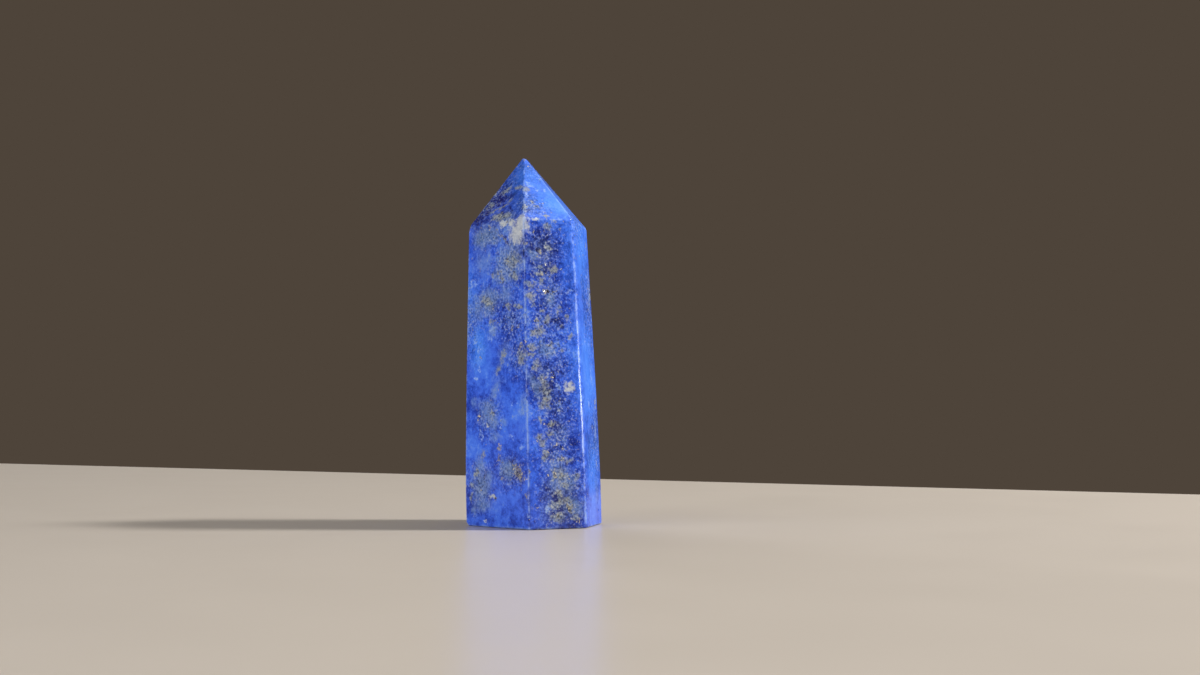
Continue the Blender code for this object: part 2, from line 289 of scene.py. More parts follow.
GROWTHS = {
    Mineral.HAZE: Growth(0.9, 1.05, 2.1, 0.62, dust=0.52, clear=-0.3, grain=0.8, mottle=1.2),
    Mineral.SHADE: Growth(1.0, -0.75, -0.15, 0.75, dust=0.35, clear=-0.3, grain=-2.2, mottle=-0.5),
    Mineral.WISP: Growth(1.0, 1.3, 1.9, 0.65, dust=0.05, grain=1.4, mottle=0.6),
    Mineral.DIOPSIDE: Growth(1.4, 1.9, 2.85, 0.82, dust=0.33, clear=-0.4, grain=2.6, mottle=0.8),
    Mineral.CALCITE: Growth(1.5, 1.25, 1.9, 0.92, grain=1.2, mottle=0.4),
    Mineral.PYRITE: Growth(1.0, 1.35, 1.9, 0.75, grain=2.0),
}


@dataclass(frozen=True)
class Chance:
    """How many patches of a mineral are drawn by chance, and between which widths in mm."""

    count: int
    narrowest: float
    widest: float


CHANCES = {
    Mineral.DUST: Chance(15, 9.0, 14.0),
    Mineral.CLEAR: Chance(5, 6.0, 10.0),
    Mineral.BRIGHT: Chance(5, 8.0, 14.0),
    Mineral.DEEP: Chance(5, 8.0, 14.0),
    Mineral.HAZE: Chance(18, 2.0, 4.5),
    Mineral.SHADE: Chance(18, 0.9, 2.4),
    Mineral.WISP: Chance(18, 0.8, 1.4),
    Mineral.DIOPSIDE: Chance(56, 0.9, 2.2),
    Mineral.CALCITE: Chance(5, 1.2, 3.4),
    Mineral.PYRITE: Chance(20, 0.8, 2.0),
}


@dataclass(frozen=True)
class FarSides:
    """The same minerals drawn by chance on the sides that the photograph doesn't show.

    Bearings and the lean are in degrees, heights in mm, and the stretch is length over width.
    """

    seed: int = 23
    bearings: tuple[float, float] = (104.0, 276.0)
    heights: tuple[float, float] = (2.0, 71.0)
    stretch: tuple[float, float] = (1.0, 2.2)
    lean: float = 60.0

    def patches(self, mineral: Mineral) -> list[Patch]:
        """Draw one mineral's patches.

        Args:
            mineral: The mineral to draw.

        Returns:
            Its patches on the far sides, the same on each run.
        """
        draw = random.Random(f"{self.seed} {mineral.name}")
        chance = CHANCES[mineral]
        made = []
        for _ in range(chance.count):
            width = draw.uniform(chance.narrowest, chance.widest)
            place = draw.uniform(*self.bearings), draw.uniform(*self.heights)
            length = width * draw.uniform(*self.stretch)
            made.append(Patch(*place, width, length, draw.uniform(-self.lean, self.lean)))
        return made


@dataclass(frozen=True)
class Skin:
    """The outer surface of the stone, on which a bearing and a height name one place."""

    tree: BVHTree
    tip: Vector

    def place(self, bearing: float, height: float) -> tuple[Vector, Vector]:
        """Find a place on the skin.

        Args:
            bearing: The bearing in degrees.
            height: The height in millimetres.

        Returns:
            The point in metres and the direction outwards there.
        """
        level = height * MM
        axis = Vector((self.tip.x * level / self.tip.z, 0.0, level))
        away = bearing_direction(bearing)
        point, outward, _, _ = self.tree.ray_cast(axis + away * self.tip.z, -away)
        return point, outward

    def frame(self, patch: Patch) -> Matrix:
        """Work out the frame of a patch.

        Args:
            patch: The patch.

        Returns:
            Its frame in metres, with Z outwards, Y along its length and X across it.
        """
        point, outward = self.place(patch.bearing, patch.height)
        across = Vector((0.0, 0.0, 1.0)).cross(outward).normalized()
        upwards = outward.cross(across).normalized()
        turn = Matrix((across, upwards, outward)).transposed().to_4x4()
        lean = Matrix.Rotation(-math.radians(patch.lean), 4, "Z")
        return Matrix.Translation(point) @ turn @ lean


def maths(tree: Tree, operation: str, *parts: object) -> Socket:
    """One step of arithmetic on sockets and numbers."""
    return add_node(tree, "ShaderNodeMath", dict(enumerate(parts)), operation=operation).outputs[0]


def weighted_sum(tree: Tree, start: float, parts: Iterable[tuple[object, float]]) -> Socket:
    """Add up sockets, each by its own weight.

    Args:
        tree: The node tree that the sum goes into.
        start: What the sum starts from.
        parts: Each socket with its weight.

    Returns:
        The socket of the sum.
    """
    total: object = start
    for part, weight in parts:
        total = maths(tree, "MULTIPLY_ADD", part, weight, total)
    return total


def vector_maths(tree: Tree, operation: str, *parts: object) -> Node:
    """One step of arithmetic on vectors."""
    return add_node(tree, "ShaderNodeVectorMath", dict(enumerate(parts)), operation=operation)


def noise(tree: Tree, place: Socket, size: float, detail: float = 2.0, rough: float = 0.5) -> Node:
    """A noise whose largest features are about as big as the size."""
    sockets = {"Vector": place, "Scale": 1.0 / size, "Detail": detail, "Roughness": rough}
    return add_node(tree, "ShaderNodeTexNoise", sockets)


def ramped(
    tree: Tree, value: Socket, start: float, whole: float, strength: float = 1.0, **settings: object
) -> Socket:
    """Turn a value into a share.

    Args:
        tree: The node tree that the ramp goes into.
        value: What is ramped.
        start: The value at which the share is still 0. It may lie above the whole.
        whole: The value from which the share has its full strength.
        strength: That full strength.
        settings: Properties of the ramp's node, such as its interpolation.

    Returns:
        The socket of the share.
    """
    sockets = {"Value": value, "From Min": start, "From Max": whole, "To Max": strength}
    return add_node(tree, "ShaderNodeMapRange", sockets, **settings).outputs[0]


def laid_over(tree: Tree, share: Socket, under: Socket | str, over: Socket | str) -> Socket:
    """Lay one colour over another.

    Args:
        tree: The node tree that the mix goes into.
        share: How much of the upper colour shows.
        under: The lower colour, as a socket or a hex colour.
        over: The upper colour, likewise.

    Returns:
        The socket of the mixed colour.
    """
    colours = [linear_colour(colour) if isinstance(colour, str) else colour for colour in (under, over)]
    sockets = {MIX_SHARE: share, MIX_UNDER: colours[0], MIX_OVER: colours[1]}
    return add_node(tree, "ShaderNodeMix", sockets, data_type="RGBA").outputs[MIX_RESULT]


Fields = Mapping[Mineral, Socket]


@dataclass(frozen=True)
class Patterns:
    """The sockets that the stone's layers are drawn from: places in mm, and noises around 0.5."""

    flat: Socket
    bent: Socket
    cloud: Socket
    mottle: Socket
    grain: Socket
    speck: Socket
    tint: Socket


@dataclass(frozen=True)
class Blue:
    """The blue itself: its colours by tone, and what each noise and field adds to that tone."""

    ramp: tuple[tuple[float, str], ...] = (
        (0.16, "#121c68"), (0.36, "#2344b6"), (0.5, "#3965e2"), (0.64, "#4a7cf0"), (0.9, "#7ca6f2"),
    )
    middle: float = 0.5
    cloud: float = 0.6
    mottle: float = 0.65
    grain: float = 0.8
    # The deeper and the lighter blue paint shade and light where they lie on the sides in view
    deep: float = -0.28
    bright: float = 0.1
    dust: float = -0.16

    # How lively the grain is in plain blue, and what dusty and clean places add to that
    lively: float = 0.65
    dust_lively: float = 0.9
    clear_lively: float = -0.35

    # Violet comes through in patches, from where its noise starts to where it is whole, up to a share
    violet: str = "#4462dc"
    violet_size: float = 4.8
    violet_start: float = 0.48
    violet_whole: float = 0.72
    violet_share: float = 0.3

    # Azure lies over the lighter places, by a share, and so adds to the painted light there
    azure: str = "#438efa"
    azure_share: float = 0.5


@dataclass(frozen=True)
class Specks:
    """Specks of one colour: where they start and are whole in their noise, and how strong they are."""

    colour: str
    start: float
    whole: float
    strength: float


@dataclass(frozen=True)
class Pepper:
    """Both kinds of specks, and what share of them shows anywhere and in each mineral."""

    kinds: tuple[Specks, ...] = (Specks("#1c2452", 0.46, 0.33, 0.75), Specks("#b4bcc8", 0.58, 0.7, 0.55))
    anywhere: float = 0.05
    dust: float = 0.95
    diopside: float = 0.35
    pyrite: float = 0.5


@dataclass(frozen=True)
class ArrisSheen:
    """A painted highlight: the pale sheen painted along the arrises where their rounding catches the light,
    which the mottling breaks up, and the share of it that shows.
    """

    colour: str = "#9ab8f0"
    start: float = 0.43
    whole: float = 0.6
    share: float = 0.62


@dataclass(frozen=True)
class Gold:
    """Grains of pyrite: cells of a size in mm, the odds that one holds a grain, its colours and outline.

    The cells are about twice as coarse as the finest real flecks, so that the grains show.
    """

    size: float = 0.42
    anywhere: float = 0.003
    patch: float = 0.7
    dust: float = 0.02
    diopside: float = 0.04
    dull: str = "#928b78"
    clean: str = "#f2ead2"
    rim: float = 0.48
    core: float = 0.3
    metallic: float = 0.5


@dataclass(frozen=True)
class Polish:
    """The roughness of the plain polish, and what each mineral, the mottling, wear and a pit add to it."""

    plain: float = 0.16
    calcite: float = 0.12
    diopside: float = 0.1
    pyrite: float = 0.08
    mottle: float = 0.06
    wear_and_sheen_band: float = 0.05
    pit: float = 0.6


@dataclass(frozen=True)
class Relief:
    """Heights in mm: the wheel's waves, the grain, the undercut minerals and the tilt of the pyrite.

    The waves come from a noise of their own size, squeezed by a share each way so that they run upright.
    """

    waves: float = 0.012
    waves_size: float = 1.0
    squeeze: tuple[float, float, float] = (0.9, 0.9, 0.07)
    grain: float = 0.012
    diopside: float = -0.006
    calcite: float = -0.004
    tilt: float = 0.4


@dataclass(frozen=True)
class PolishedLapis:
    """Lapis lazuli, sawn, ground and tumbled to a soft polish.

    The eye gets a deep ultramarine that clouds and mottles, peppered with pale and navy grains, broken by
    grey-beige diopside, white calcite and gold pyrite, under a satin gloss that the softer minerals dull.
    """

    name: str = "polished lapis lazuli"
    ior: float = 1.5
    blue: Blue = Blue()
    pepper: Pepper = Pepper()
    wear: ArrisSheen = ArrisSheen()
    gold: Gold = Gold()
    polish: Polish = Polish()
    relief: Relief = Relief()

    # The two colours of each mineral, in the order in which they lie over the blue, and how they vary
    colours: tuple[tuple[Mineral, str, str], ...] = (
        (Mineral.HAZE, "#5f84bf", "#8299bd"), (Mineral.SHADE, "#0f1860", "#1f2a80"),
        (Mineral.WISP, "#7ea6ee", "#a9c2ee"), (Mineral.DIOPSIDE, "#63799f", "#989a8c"),
        (Mineral.CALCITE, "#a3adbd", "#c2c6c6"), (Mineral.PYRITE, "#5c6272", "#8f8a74"),
    )
    sway: tuple[float, float] = (0.38, 0.62)

    # Each noise's size in mm, its detail and its roughness
    cloud: tuple[float, float, float] = (11.0, 2.0, 0.5)
    mottle: tuple[float, float, float] = (2.4, 4.0, 0.62)
    grain: tuple[float, float, float] = (0.75, 3.0, 0.75)
    speck: tuple[float, float, float] = (0.45, 1.0, 0.5)
    tint: tuple[float, float, float] = (0.6, 3.0, 0.75)

    # How far a patch reaches past the size it is given and how deep it goes at least, in mm
    reach: float = 1.4
    depth: float = 2.2

    # How outlines wander: the size and the swing of each noise that bends them, in mm
    bends: tuple[tuple[float, float], ...] = ((5.0, 1.3), (1.1, 2.2), (0.45, 0.8))

    def patterns(self, tree: Tree) -> Patterns:
        """Lay out the places and noises that every layer uses.

        Args:
            tree: The material's node tree.

        Returns:
            Their sockets.
        """
        here = add_node(tree, "ShaderNodeTexCoord").outputs["Object"]
        scaled = add_node(tree, "ShaderNodeVectorMath", {0: here, "Scale": 1.0 / MM}, operation="SCALE")
        flat = bent = scaled.outputs[0]
        for size, swing in self.bends:
            wander = noise(tree, flat, size).outputs["Color"]
            centred = vector_maths(tree, "SUBTRACT", wander, MEAN_COLOUR).outputs[0]
            bent = vector_maths(tree, "MULTIPLY_ADD", centred, (swing, swing, swing), bent).outputs[0]
        kinds = (self.cloud, self.mottle, self.grain, self.speck, self.tint)
        return Patterns(flat, bent, *(noise(tree, flat, *kind).outputs["Fac"] for kind in kinds))

    def field(self, tree: Tree, place: Socket, skin: Skin, patches: Iterable[Patch]) -> Socket:
        """Join patches into one field, 1 at the middle of each and 0 from its rim outwards.

        Args:
            tree: The material's node tree.
            place: The position in the stone in mm, bent so that no outline is smooth.
            skin: The surface that the patches lie on.
            patches: The patches of one mineral.

        Returns:
            The field's socket.
        """
        strongest = None
        for patch in patches:
            frame = skin.frame(patch)
            half = Vector((patch.width, patch.length, max(self.depth, patch.width))) * self.reach / 2.0
            turned = add_node(
                tree, "ShaderNodeMapping",
                {
                    "Vector": place, "Location": frame.to_translation() / MM,
                    "Rotation": frame.to_euler(), "Scale": half,
                },
                vector_type="TEXTURE",
            )
            fade = add_node(
                tree, "ShaderNodeTexGradient", {0: turned.outputs[0]}, gradient_type="SPHERICAL"
            ).outputs["Fac"]
            strongest = fade if strongest is None else maths(tree, "MAXIMUM", strongest, fade)
        return strongest

    def grown(self, tree: Tree, drawn: Patterns, mineral: Mineral, fields: Fields) -> Socket:
        """Turn a mineral's field into where it shows, broken up by the patterns of the stone.

        Args:
            tree: The material's node tree.
            drawn: The stone's patterns.
            mineral: The mineral.
            fields: Where each mineral lies.

        Returns:
            The mineral's share at each place, from 0 to its strength.
        """
        growth = GROWTHS[mineral]
        parts = (
            (fields[mineral], growth.patch), (fields[Mineral.DUST], growth.dust),
            (fields[Mineral.CLEAR], growth.clear), (drawn.grain, growth.grain),
            (drawn.mottle, growth.mottle),
        )
        score = weighted_sum(tree, 0.0, ((part, weight) for part, weight in parts if weight))
        span = (growth.start, growth.whole, growth.strength)
        return ramped(tree, score, *span, interpolation_type="SMOOTHSTEP")

    def plain_blue(self, tree: Tree, drawn: Patterns, fields: Fields) -> Socket:
        """Colour the blue: mottled everywhere, peppered where there is dust, calm where it is clean,
        lighter where patches paint light and darker where they paint shade.

        Args:
            tree: The material's node tree.
            drawn: The stone's patterns.
            fields: Where each mineral lies.

        Returns:
            The colour's socket.
        """
        blue = self.blue
        dust, clear = fields[Mineral.DUST], fields[Mineral.CLEAR]
        lively = weighted_sum(tree, blue.lively, ((dust, blue.dust_lively), (clear, blue.clear_lively)))
        grain = maths(tree, "MULTIPLY", maths(tree, "SUBTRACT", drawn.grain, MEAN), lively)
        # The tone takes the painted shade of the deeper blue and the painted light of the lighter blue
        tone = weighted_sum(
            tree, blue.middle - MEAN * (blue.cloud + blue.mottle),
            (
                (drawn.cloud, blue.cloud), (drawn.mottle, blue.mottle), (grain, blue.grain),
                (fields[Mineral.DEEP], blue.deep), (fields[Mineral.BRIGHT], blue.bright), (dust, blue.dust),
            ),
        )
        toned = add_node(tree, "ShaderNodeValToRGB", {"Fac": tone})
        stops = toned.color_ramp.elements
        while len(stops) < len(blue.ramp):
            stops.new(blue.middle)
        for stop, (at, code) in zip(stops, blue.ramp):
            stop.position, stop.color = at, linear_colour(code)
        purple = noise(tree, drawn.bent, blue.violet_size).outputs["Fac"]
        share = ramped(tree, purple, blue.violet_start, blue.violet_whole, blue.violet_share)
        colour = laid_over(tree, share, toned.outputs["Color"], blue.violet)
        # Painted light: azure over the lighter blue
        share = maths(tree, "MULTIPLY", fields[Mineral.BRIGHT], blue.azure_share)
        return laid_over(tree, share, colour, blue.azure)

    def layered(self, tree: Tree, drawn: Patterns, shown: Fields, dust: Socket, colour: Socket) -> Socket:
        """Lay each mineral's two colours over the blue in turn, then the dark and the pale specks.

        Args:
            tree: The material's node tree.
            drawn: The stone's patterns.
            shown: The share of each mineral.
            dust: Where the blue is dusty.
            colour: The blue's socket.

        Returns:
            The colour's socket.
        """
        sway = ramped(tree, drawn.tint, *self.sway)
        for mineral, first, second in self.colours:
            colour = laid_over(tree, shown[mineral], colour, laid_over(tree, sway, first, second))
        pepper = self.pepper
        parts = (
            (dust, pepper.dust), (shown[Mineral.DIOPSIDE], pepper.diopside),
            (shown[Mineral.PYRITE], pepper.pyrite),
        )
        where = weighted_sum(tree, pepper.anywhere, parts)
        for kind in pepper.kinds:
            spots = ramped(tree, drawn.speck, kind.start, kind.whole, kind.strength)
            colour = laid_over(tree, maths(tree, "MULTIPLY", spots, where), colour, kind.colour)
        return colour

    def grains(
        self, tree: Tree, drawn: Patterns, fields: Fields, shown: Fields
    ) -> tuple[Socket, Socket, Socket]:
        """Draw the pyrite: small cells, of which a few hold a grain with its own colour and its own tilt.

        Args:
            tree: The material's node tree.
            drawn: The stone's patterns.
            fields: Where each mineral lies.
            shown: The share of each mineral.

        Returns:
            Where there is a grain, its colour, and the height of its tilted face.
        """
        gold = self.gold
        cells = add_node(tree, "ShaderNodeTexVoronoi", {"Vector": drawn.bent, "Scale": 1.0 / gold.size})
        chance = add_node(tree, "ShaderNodeSeparateColor", {0: cells.outputs["Color"]}).outputs
        parts = (
            (fields[Mineral.PYRITE], gold.patch), (fields[Mineral.DUST], gold.dust),
            (shown[Mineral.DIOPSIDE], gold.diopside),
        )
        holds = maths(tree, "LESS_THAN", chance["Red"], weighted_sum(tree, gold.anywhere, parts))
        body = ramped(tree, cells.outputs["Distance"], gold.rim, gold.core)
        there = maths(tree, "MULTIPLY", holds, body)
        away = vector_maths(tree, "SUBTRACT", drawn.bent, cells.outputs["Position"]).outputs[0]
        facing = vector_maths(tree, "SUBTRACT", cells.outputs["Color"], MEAN_COLOUR).outputs[0]
        tilt = vector_maths(tree, "DOT_PRODUCT", away, facing).outputs["Value"]
        colour = laid_over(tree, chance["Green"], gold.dull, gold.clean)
        return there, colour, maths(tree, "MULTIPLY", tilt, there)

    def material(self, skin: Skin, marks: Mapping[Mineral, Iterable[Patch]]) -> Material:
        """Build the stone's material.

        Args:
            skin: The surface that the marks lie on.
            marks: The patches of each mineral.

        Returns:
            The finished material.
        """
        made = bpy.data.materials.new(self.name)
        made.use_nodes = True
        tree = made.node_tree
        shader = tree.nodes["Principled BSDF"]
        shader.inputs["IOR"].default_value = self.ior
        drawn = self.patterns(tree)
        fields = {mineral: self.field(tree, drawn.bent, skin, marks[mineral]) for mineral in Mineral}
        shown = {mineral: self.grown(tree, drawn, mineral, fields) for mineral in GROWTHS}
        colour = self.plain_blue(tree, drawn, fields)
        colour = self.layered(tree, drawn, shown, fields[Mineral.DUST], colour)

        # The polish breaks along the arrises, which leaves them duller here and there, and a pale painted
        # highlight lies along them where their rounding catches the light
        read = (add_node(tree, "ShaderNodeAttribute", attribute_name=name) for name in (ARRIS_WEAR_AND_SHEEN, PIT))
        arris, pit = (node.outputs["Fac"] for node in read)
        wear = self.wear
        wear_and_sheen_band = maths(tree, "MULTIPLY", arris, ramped(tree, drawn.mottle, wear.start, wear.whole))
        colour = laid_over(tree, maths(tree, "MULTIPLY", wear_and_sheen_band, wear.share), colour, wear.colour)

        grains, gold, tilted = self.grains(tree, drawn, fields, shown)
        colour = laid_over(tree, grains, colour, gold)
        metallic = maths(tree, "MULTIPLY", grains, self.gold.metallic)

        # The softer minerals take less polish, the arrises lose it and the pits have none
        calcite, diopside, polish = shown[Mineral.CALCITE], shown[Mineral.DIOPSIDE], self.polish
        parts = (
            (calcite, polish.calcite), (diopside, polish.diopside), (shown[Mineral.PYRITE], polish.pyrite),
            (drawn.mottle, polish.mottle), (wear_and_sheen_band, polish.wear_and_sheen_band), (pit, polish.pit),
        )
        dullness = weighted_sum(tree, polish.plain, parts)

        relief = self.relief
        squeezed = vector_maths(tree, "MULTIPLY", drawn.flat, relief.squeeze).outputs[0]
        waves = noise(tree, squeezed, relief.waves_size).outputs["Fac"]
        parts = (
            (waves, relief.waves), (drawn.grain, relief.grain), (diopside, relief.diopside),
            (calcite, relief.calcite), (tilted, relief.tilt),
        )
        height = weighted_sum(tree, 0.0, parts)
        bump = add_node(tree, "ShaderNodeBump", {"Strength": 1.0, "Distance": MM, "Height": height})
        driven = {
            "Base Color": colour, "Metallic": metallic, "Roughness": dullness, "Normal": bump.outputs[0],
        }
        for name, socket in driven.items():
            tree.links.new(socket, shader.inputs[name])
        return made


@dataclass(frozen=True)
class PulledGrains:
    """Tiny pits all over the polished skin, where single grains pulled out under the wheel.

    The spacing is the least between two, the density is a number per square metre before that thins them
    out, the depth is a share of the width, and none lies lower than the lowest.
    """

    spacing: float = 1.5 * MM
    density: float = 150000.0
    width: tuple[float, float] = (0.16 * MM, 0.42 * MM)
    depth: float = 0.35
    lowest: float = 0.8 * MM
    seed: int = 11

    def tree(self) -> Tree:
        """Build the node tree that scatters the grains and takes them out of the stone.

        Returns:
            The tree, with an input for each size.
        """
        tree = bpy.data.node_groups.new("pulled grains", "GeometryNodeTree")
        inputs = {
            "Stone": "Geometry", "Spacing": "Float", "Density": "Float", "Narrowest": "Float",
            "Widest": "Float", "Depth": "Float", "Lowest": "Float", "Seed": "Int", "Finish": "Material",
        }
        for name, kind in inputs.items():
            tree.interface.new_socket(name, in_out="INPUT", socket_type=f"NodeSocket{kind}")
        tree.interface.new_socket("Stone", in_out="OUTPUT", socket_type="NodeSocketGeometry")
        given = add_node(tree, "NodeGroupInput").outputs

        # One flattened ball for each grain, of a width drawn by chance, on the stone above its foot
        here = add_node(tree, "GeometryNodeInputPosition").outputs[0]
        height = add_node(tree, "ShaderNodeSeparateXYZ", {0: here}).outputs["Z"]
        above = add_node(
            tree, "FunctionNodeCompare", {"A": height, "B": given["Lowest"]},
            data_type="FLOAT", operation="GREATER_THAN",
        ).outputs[0]
        points = add_node(
            tree, "GeometryNodeDistributePointsOnFaces",
            {
                "Mesh": given["Stone"], "Selection": above, "Distance Min": given["Spacing"],
                "Density Max": given["Density"], "Seed": given["Seed"],
            },
            distribute_method="POISSON",
        )
        width = add_node(
            tree, "FunctionNodeRandomValue",
            {2: given["Narrowest"], 3: given["Widest"], "Seed": given["Seed"]}, data_type="FLOAT",
        ).outputs[1]
        deep = maths(tree, "MULTIPLY", width, given["Depth"])
        size = add_node(tree, "ShaderNodeCombineXYZ", {"X": width, "Y": width, "Z": deep}).outputs[0]
        ball = add_node(tree, "GeometryNodeMeshIcoSphere", {"Radius": 1.0, "Subdivisions": 1}).outputs[0]
        grain = add_node(
            tree, "GeometryNodeStoreNamedAttribute", {"Geometry": ball, "Name": PIT, "Value": True},
            data_type="BOOLEAN", domain="FACE",
        ).outputs[0]
        spread = add_node(
            tree, "GeometryNodeInstanceOnPoints",
            {
                "Points": points.outputs["Points"], "Instance": grain,
                "Rotation": points.outputs["Rotation"], "Scale": size,
            },
        ).outputs[0]

        # The balls are taken out of the stone all at once, as plain mesh
        solid = add_node(tree, "GeometryNodeRealizeInstances", {0: spread}).outputs[0]
        cut = add_node(
            tree, "GeometryNodeMeshBoolean",
            {"Mesh 1": given["Stone"], "Mesh 2": solid, "Self Intersection": True},
            operation="DIFFERENCE", solver="EXACT",
        ).outputs[0]
        whole = add_node(tree, "GeometryNodeRealizeInstances", {0: cut}).outputs[0]
        dressed = add_node(
            tree, "GeometryNodeSetMaterial", {"Geometry": whole, "Material": given["Finish"]}
        ).outputs[0]
        add_node(tree, "NodeGroupOutput", {0: dressed})
        return tree

    def cut(self, stone: Object, finish: Material) -> Mesh:
        """Take the grains out of the stone.

        Args:
            stone: The stone, as a closed mesh.
            finish: The material of the finished mesh.

        Returns:
            The pitted stone as a plain mesh.
        """
        tree = self.tree()
        modifier = stone.modifiers.new("pulled grains", "NODES")
        modifier.node_group = tree
        narrowest, widest = (width / 2.0 for width in self.width)
        values = {
            "Spacing": self.spacing, "Density": self.density, "Narrowest": narrowest, "Widest": widest,
            "Depth": self.depth, "Lowest": self.lowest, "Seed": self.seed, "Finish": finish,
        }
        for item in tree.interface.items_tree:
            if item.in_out == "INPUT" and item.name in values:
                modifier[item.identifier] = values[item.name]
        graph = bpy.context.evaluated_depsgraph_get()
        mesh = bpy.data.meshes.new_from_object(stone.evaluated_get(graph))
        stone.modifiers.remove(modifier)
        return mesh


@dataclass(eq=False)
class Plane:
    """The faces of a mesh that face one way, by that way and their whole area."""

    normal: Vector
    area: float = 0.0


@dataclass
class Tower:
    """The stone itself: one solid six-sided tower with a six-sided point."""

    node: Object
    finish: PolishedLapis = PolishedLapis()
    far_sides: FarSides = FarSides()
    grains: PulledGrains = PulledGrains()

    # Corners of the solid's loose triangles that are nearer to each other than this become one
    weld: float = 0.002 * MM

    # Faces that turn from each other by more degrees than the crease meet sharply, and those whose normals
    # have a cosine above the next value share a plane
    crease: float = 32.0
    same_plane: float = 0.99998

    # A plane with more than this area is a flat, this many of the largest faces span the whole stone, and a
    # face that lies this deep behind their corners is in a pit. The band along each arris, where the polish
    # is dulled and a pale highlight is painted, grows between two angles from the nearest flat, in degrees
    flat_area: float = 60.0 * MM**2
    outer_faces: int = 80
    pit_depth: float = 0.3 * MM
    wear_and_sheen_from: float = 8.0
    wear_and_sheen_to: float = 30.0

    def body(self) -> Object:
        """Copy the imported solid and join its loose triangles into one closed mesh.

        Returns:
            The stone's own object, in the scene.
        """
        bm = bmesh.new()
        bm.from_mesh(self.node.data)
        bmesh.ops.remove_doubles(bm, verts=bm.verts, dist=self.weld)
        mesh = bpy.data.meshes.new("tower_stone")
        bm.to_mesh(mesh)
        bm.free()
        mesh.materials.clear()
        stone = bpy.data.objects.new("tower_stone", mesh)
        bpy.context.scene.collection.objects.link(stone)
        return stone

    def skin(self, stone: Object) -> Skin:
        """Take the surface of the stone, for finding places on it.

        Args:
            stone: The stone before its grains are pulled.

        Returns:
            Its skin.
        """
        bm = bmesh.new()
        bm.from_mesh(stone.data)
        tree = BVHTree.FromBMesh(bm)
        bm.free()
        tip = max(stone.data.vertices, key=lambda vertex: vertex.co.z)
        return Skin(tree, tip.co.copy())

    def planes(self, mesh: Mesh) -> dict[int, Plane]:
        """Group the faces by the way they face, without the pits that the pulled grains left.

        Args:
            mesh: The pitted stone.

        Returns:
            The plane of each face, by the face's index.
        """
        pulled = mesh.attributes[PIT].data
        planes: list[Plane] = []
        plane_of: dict[int, Plane] = {}
        for face in sorted(mesh.polygons, key=lambda item: -item.area):
            if pulled[face.index].value:
                continue
            alike = (known for known in planes if known.normal.dot(face.normal) > self.same_plane)
            plane = next(alike, None)
            if plane is None:
                plane = Plane(face.normal.copy())
                planes.append(plane)
            plane.area += face.area
            plane_of[face.index] = plane
        return plane_of

    def shade(self, mesh: Mesh, plane_of: Mapping[int, Plane]) -> None:
        """Shade the rounds smooth, keep the flats flat, and leave the pulled grains' pits faceted.

        A corner takes the mean of the faces around it, each weighed by the whole area that lies its way,
        so that the flats rule over the rounds beside them and no pit bends the shading of a flat.

        Args:
            mesh: The pitted stone.
            plane_of: The plane of each face outside those pits.
        """
        around: dict[int, list[Plane]] = {}
        for index, plane in plane_of.items():
            for corner in mesh.polygons[index].vertices:
                around.setdefault(corner, []).append(plane)
        limit = math.cos(math.radians(self.crease))
        normals = []
        for face in mesh.polygons:
            for corner in face.vertices:
                total = Vector()
                for plane in around[corner] if face.index in plane_of else ():
                    if plane.normal.dot(face.normal) > limit:
                        total += plane.normal * plane.area
                normals.append(total.normalized() if total.length else face.normal.copy())
        mesh.shade_smooth()
        mesh.normals_split_custom_set(normals)

    def mark_wear_and_sheen(self, mesh: Mesh, plane_of: Mapping[int, Plane]) -> None:
        """Mark each face for the material: in a pit or a chip, or how far it lies into an arris, where the
        polish is dulled and a pale highlight is painted.

        The tower bulges everywhere, so a face that has some of the stone in front of it lies in a pit or
        a chip. Of the others, those that face furthest from any flat lie along the middle of an arris.

        Args:
            mesh: The pitted stone.
            plane_of: The plane of each face outside the pulled grains' pits.
        """
        flats = [plane.normal for plane in set(plane_of.values()) if plane.area > self.flat_area]
        largest = sorted(mesh.polygons, key=lambda item: -item.area)[: self.outer_faces]
        corners = {corner for face in largest for corner in face.vertices}
        outer = [mesh.vertices[corner].co.copy() for corner in corners]
        pits, wear = [], []
        for face in mesh.polygons:
            normal = face.normal.copy()
            level = face.center.dot(normal)
            pitted = face.index not in plane_of or max(map(normal.dot, outer)) - level > self.pit_depth
            away = math.degrees(min(map(normal.angle, flats)))
            share = min(max((away - self.wear_and_sheen_from) / (self.wear_and_sheen_to - self.wear_and_sheen_from), 0.0), 1.0)
            pits.append(pitted)
            wear.append(0.0 if pitted else share)
        mesh.attributes[PIT].data.foreach_set("value", pits)
        mesh.attributes.new(ARRIS_WEAR_AND_SHEEN, "FLOAT", "FACE").data.foreach_set("value", wear)

    def build(self) -> Object:
        """Make the stone, dress it and put it in the solid's place.

        Returns:
            The finished piece.
        """
        stone = self.body()
        skin = self.skin(stone)
        marks = {mineral: [*MARKS[mineral], *self.far_sides.patches(mineral)] for mineral in Mineral}
        material = self.finish.material(skin, marks)
        stone.data.materials.append(material)
        stone.data = self.grains.cut(stone, material)
        stone.data.name = "tower_stone"
        plane_of = self.planes(stone.data)
        self.shade(stone.data, plane_of)
        self.mark_wear_and_sheen(stone.data, plane_of)
        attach(stone, "root")
        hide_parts("tower")
        count = sum(map(len, marks.values()))
        log.info("%s: %d faces, %d marks", stone.name, len(stone.data.polygons), count)
        return stone


